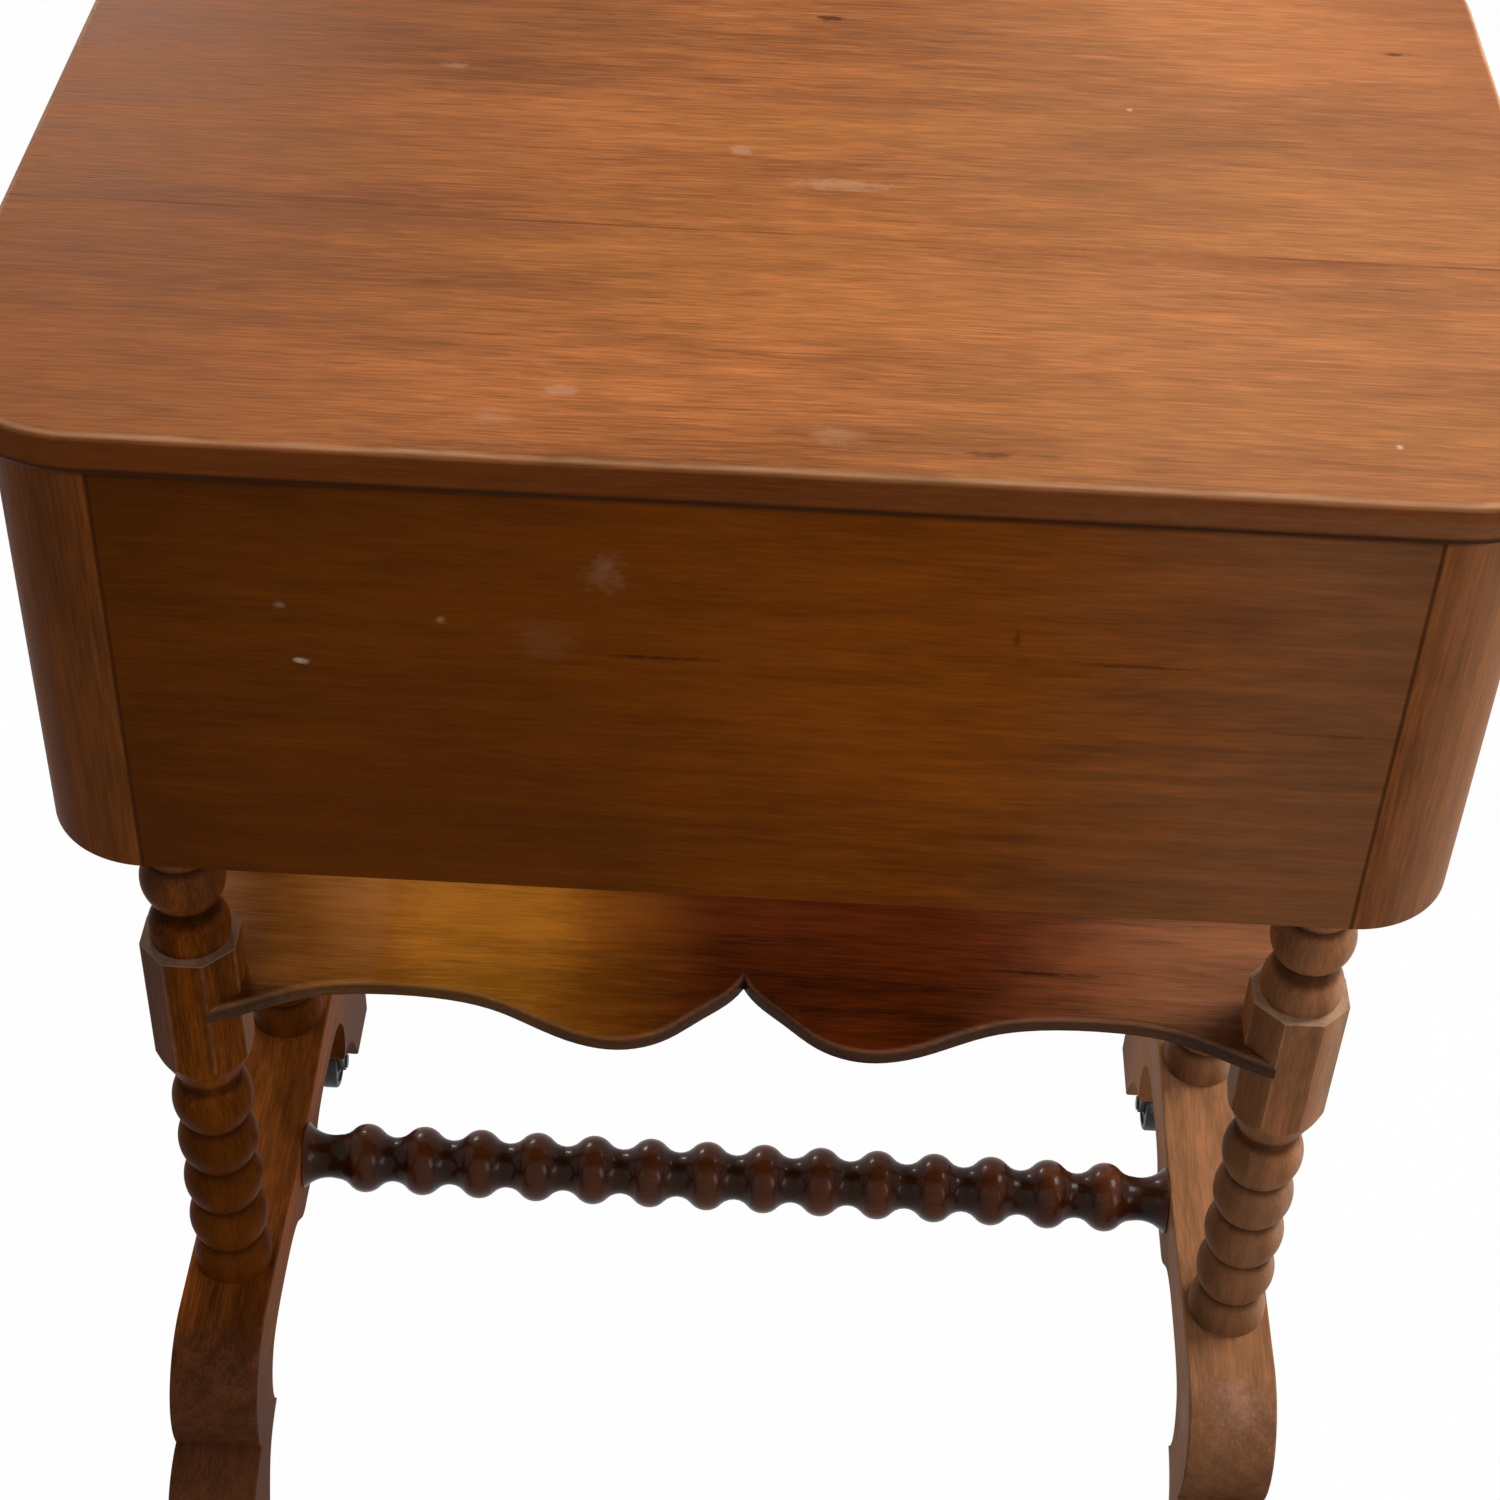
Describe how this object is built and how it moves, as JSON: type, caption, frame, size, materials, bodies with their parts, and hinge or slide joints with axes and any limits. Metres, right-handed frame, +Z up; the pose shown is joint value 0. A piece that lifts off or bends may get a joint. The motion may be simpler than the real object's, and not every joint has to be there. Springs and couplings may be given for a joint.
{
  "type": "two-drawer sewing desk",
  "caption": "Wooden sewing desk: round-cornered case with drawers, turned legs, wavy shelf, beaded stretcher and scrolled feet on swivel casters.",
  "frame": {"origin": "middle of the base of the whole desk's box, on the floor", "axes": "+Z up, +X to the right along the width when the plain side is faced, +Y from the plain side to the drawer side"},
  "size_m": [0.5634, 0.425, 0.737],
  "materials": {
    "top_wood": "satin shellac over walnut-coloured stain",
    "case_wood": "satin shellac, darker, grain level",
    "post_wood": "satin shellac, grain upright",
    "rail_wood": "satin shellac",
    "drawer_front_wood": "satin shellac, grain level",
    "knob_wood": "glossy turned",
    "inner_wood": "bare planed secondary wood",
    "cleat_wood": "satin shellac",
    "leg_wood": "satin turned",
    "foot_wood": "satin shellac, worn top",
    "stretcher_wood": "glossy turned",
    "shelf_wood": "glossy shellac",
    "caster_iron": "black, rubbed",
    "wheel_iron": "black, rubbed tread",
    "screw_steel": "dulled"
  },
  "bodies": {
    "desk": {"case_bottom": "inner_wood", "caster_plates": "caster_iron", "caster_screws": "screw_steel", "cleat_screws": "screw_steel", "corner_post_front_left": "post_wood", "corner_post_front_right": "post_wood", "corner_post_rear_left": "post_wood", "corner_post_rear_right": "post_wood", "drawer_runner_lower_left": "inner_wood", "drawer_runner_lower_right": "inner_wood", "drawer_runner_upper_left": "inner_wood", "drawer_runner_upper_right": "inner_wood", "drawer_stops": "inner_wood", "foot_left": "foot_wood", "foot_right": "foot_wood", "kicker_left": "inner_wood", "kicker_right": "inner_wood", "leg_cleat_left": "cleat_wood", "leg_cleat_right": "cleat_wood", "leg_front_left": "leg_wood", "leg_front_right": "leg_wood", "leg_rear_left": "leg_wood", "leg_rear_right": "leg_wood", "rail_bottom": "rail_wood", "rail_middle": "rail_wood", "rail_top": "rail_wood", "rear_panel": "case_wood", "shelf": "shelf_wood", "shelf_dowels": "inner_wood", "side_panel_left": "case_wood", "side_panel_right": "case_wood", "stretcher": "stretcher_wood", "top_board_front": "top_wood", "top_board_rear": "top_wood", "top_screws": "screw_steel"},
    "drawer_lower": {"drawer_lower_back": "inner_wood", "drawer_lower_bottom": "inner_wood", "drawer_lower_front": "drawer_front_wood", "drawer_lower_knobs": "knob_wood", "drawer_lower_side_left": "inner_wood", "drawer_lower_side_right": "inner_wood"},
    "drawer_upper": {"drawer_upper_back": "inner_wood", "drawer_upper_bottom": "inner_wood", "drawer_upper_front": "drawer_front_wood", "drawer_upper_knobs": "knob_wood", "drawer_upper_side_left": "inner_wood", "drawer_upper_side_right": "inner_wood"},
    "caster_rear_left": {"caster_horn_rear_left": "caster_iron", "caster_axle_rear_left": "caster_iron"},
    "wheel_rear_left": {"caster_wheel_rear_left": "wheel_iron"},
    "caster_front_left": {"caster_horn_front_left": "caster_iron", "caster_axle_front_left": "caster_iron"},
    "wheel_front_left": {"caster_wheel_front_left": "wheel_iron"},
    "caster_rear_right": {"caster_horn_rear_right": "caster_iron", "caster_axle_rear_right": "caster_iron"},
    "wheel_rear_right": {"caster_wheel_rear_right": "wheel_iron"},
    "caster_front_right": {"caster_horn_front_right": "caster_iron", "caster_axle_front_right": "caster_iron"},
    "wheel_front_right": {"caster_wheel_front_right": "wheel_iron"}
  },
  "joints": [
    {"name": "drawer_lower_slide", "type": "slide", "parent": "desk", "child": "drawer_lower", "axis": [0, 1, 0], "range_m": [0, 0.24]},
    {"name": "drawer_upper_slide", "type": "slide", "parent": "desk", "child": "drawer_upper", "axis": [0, 1, 0], "range_m": [0, 0.24]},
    {"name": "caster_rear_left_swivel", "type": "hinge", "parent": "desk", "child": "caster_rear_left", "pos_m": [-0.2435, -0.1771, 0.045], "axis": [0, 0, 1], "continuous": true},
    {"name": "wheel_rear_left_spin", "type": "hinge", "parent": "caster_rear_left", "child": "wheel_rear_left", "pos_m": [-0.2435, -0.1851, 0.016], "axis": [1, 0, 0], "continuous": true},
    {"name": "caster_front_left_swivel", "type": "hinge", "parent": "desk", "child": "caster_front_left", "pos_m": [-0.2435, 0.1631, 0.045], "axis": [0, 0, 1], "continuous": true},
    {"name": "wheel_front_left_spin", "type": "hinge", "parent": "caster_front_left", "child": "wheel_front_left", "pos_m": [-0.2435, 0.1711, 0.016], "axis": [1, 0, 0], "continuous": true},
    {"name": "caster_rear_right_swivel", "type": "hinge", "parent": "desk", "child": "caster_rear_right", "pos_m": [0.2435, -0.1771, 0.045], "axis": [0, 0, 1], "continuous": true},
    {"name": "wheel_rear_right_spin", "type": "hinge", "parent": "caster_rear_right", "child": "wheel_rear_right", "pos_m": [0.2435, -0.1851, 0.016], "axis": [1, 0, 0], "continuous": true},
    {"name": "caster_front_right_swivel", "type": "hinge", "parent": "desk", "child": "caster_front_right", "pos_m": [0.2435, 0.1631, 0.045], "axis": [0, 0, 1], "continuous": true},
    {"name": "wheel_front_right_spin", "type": "hinge", "parent": "caster_front_right", "child": "wheel_front_right", "pos_m": [0.2435, 0.1711, 0.016], "axis": [1, 0, 0], "continuous": true}
  ]
}
